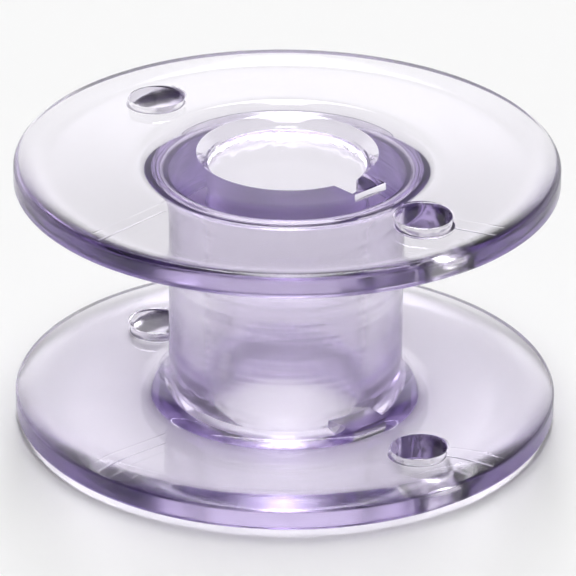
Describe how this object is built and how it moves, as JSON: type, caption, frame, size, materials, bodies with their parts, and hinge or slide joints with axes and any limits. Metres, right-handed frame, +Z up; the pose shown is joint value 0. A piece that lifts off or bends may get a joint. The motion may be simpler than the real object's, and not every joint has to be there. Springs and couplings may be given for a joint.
{
  "type": "sewing machine bobbin",
  "caption": "Clear violet-tinted plastic bobbin that holds the lower thread: slightly conical flanges on a tubular hub, a through bore with a drive notch at each end, and thread holes in the flanges.",
  "frame": {"origin": "bore axis at the level of the lower end face, which the bobbin stands on", "axes": "+Z up along the bore; +X through the drive notches and one thread hole"},
  "size_m": [0.0206, 0.0206, 0.0109],
  "materials": {
    "clear_plastic": "glossy, clear, tinted violet through its thickness"
  },
  "bodies": {
    "root": {"bobbin": "clear_plastic"}
  },
  "joints": []
}
